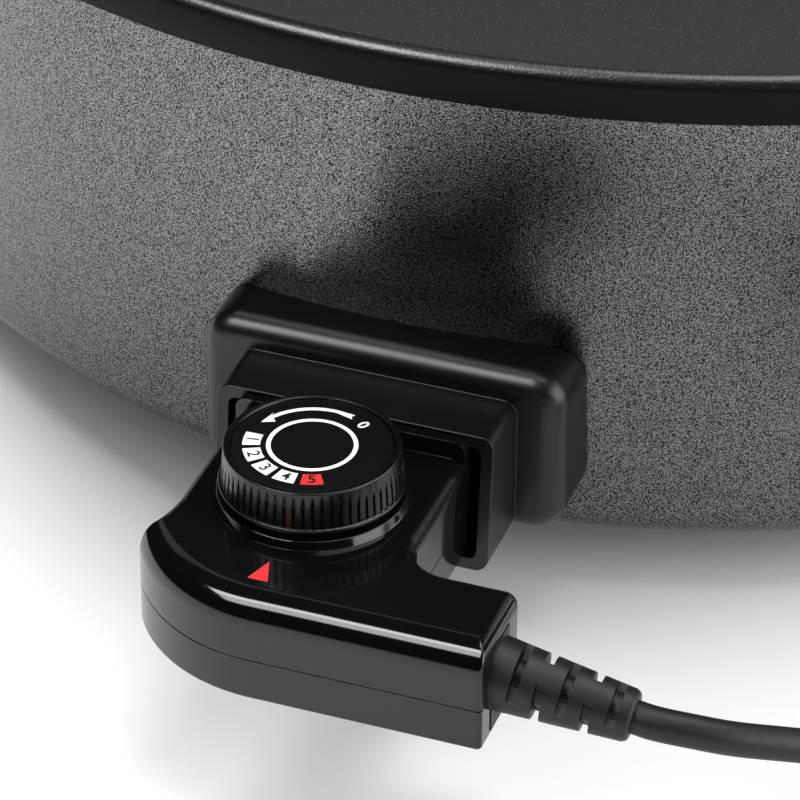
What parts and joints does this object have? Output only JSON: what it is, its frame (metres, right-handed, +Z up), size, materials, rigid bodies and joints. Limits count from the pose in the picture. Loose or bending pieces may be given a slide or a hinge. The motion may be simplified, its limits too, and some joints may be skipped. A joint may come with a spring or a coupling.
{
  "type": "electric skillet",
  "caption": "Round electric skillet: coated pan in a tapered hammered-grey skirt, with side handles, feet and a plug-in thermostat controller with a dial and a mains cord.",
  "frame": {"origin": "on the table top, under the middle of the box round the pan, handles and controller", "axes": "+Z up, -Y the way the controller pulls out, +X the way the controller's cord arm points; the pan's axis stands at y = 0.0386 m"},
  "size_m": [0.4851, 0.4772, 0.125],
  "materials": {
    "pan_coating": "cast aluminium with a black non-stick coating",
    "skirt_lacquer": "grey hammered lacquer on sheet steel",
    "base_sheet": "zinc-plated sheet",
    "fasteners": "zinc-plated",
    "feet": "matte black",
    "element_sheath": "drawn steel tube",
    "clip_sheet": "plain sheet",
    "ceramic": "fired ceramic, unglazed",
    "contact_pins": "nickel-plated",
    "socket_metal": "cast, unfinished",
    "moulded_black": "satin phenolic moulding",
    "housing_black": "gloss moulding",
    "carrier_phenolic": "brown phenolic moulding",
    "contact_brass": "plain",
    "probe_steel": "drawn stainless steel",
    "lead_sleeve": "plain insulation",
    "cord_rubber": "matte black",
    "dial_black": "gloss moulding",
    "dial_print": "black disc printed in white and red",
    "tie_strap": "plain strap"
  },
  "bodies": {
    "pan": {"inner_pan": "pan_coating", "outer_skirt": "skirt_lacquer", "base_plate": "base_sheet", "base_studs": "fasteners", "base_nuts": "fasteners", "foot_front_left": "feet", "foot_front_right": "feet", "foot_rear_left": "feet", "foot_rear_right": "feet", "foot_screws": "fasteners", "foot_nuts": "fasteners", "heating_element": "element_sheath", "element_clips": "clip_sheet", "terminal_block": "ceramic", "terminal_pins": "contact_pins", "probe_socket": "socket_metal", "socket_guard": "moulded_black", "guard_screws": "fasteners", "handle_left": "moulded_black", "handle_right": "moulded_black", "handle_screws": "fasteners"},
    "controller": {"controller_lower_shell": "housing_black", "controller_upper_shell": "housing_black", "controller_screws": "fasteners", "contact_carrier": "carrier_phenolic", "pin_receptacles": "contact_brass", "temperature_probe": "probe_steel", "thermostat_bracket": "clip_sheet", "ceramic_spacers": "ceramic", "moving_contact_blade": "contact_brass", "fixed_contact_blade": "contact_brass", "internal_leads": "lead_sleeve", "strain_relief": "cord_rubber", "power_cord": "cord_rubber", "cord_coil": "cord_rubber", "cord_tie": "tie_strap", "plug_lead": "cord_rubber", "plug_body": "cord_rubber", "plug_pins": "contact_pins"},
    "dial": {"dial_spindle": "fasteners", "dial_knob": "dial_black", "dial_label": "dial_print"}
  },
  "joints": [
    {"name": "controller_slide", "type": "slide", "parent": "pan", "child": "controller", "axis": [0, -1, 0], "range_m": [0, 0.075]},
    {"name": "dial_turn", "type": "hinge", "parent": "controller", "child": "dial", "pos_m": [0, -0.20168, 0.055], "axis": [0, 0, 1], "range_deg": [-21, 214]}
  ]
}
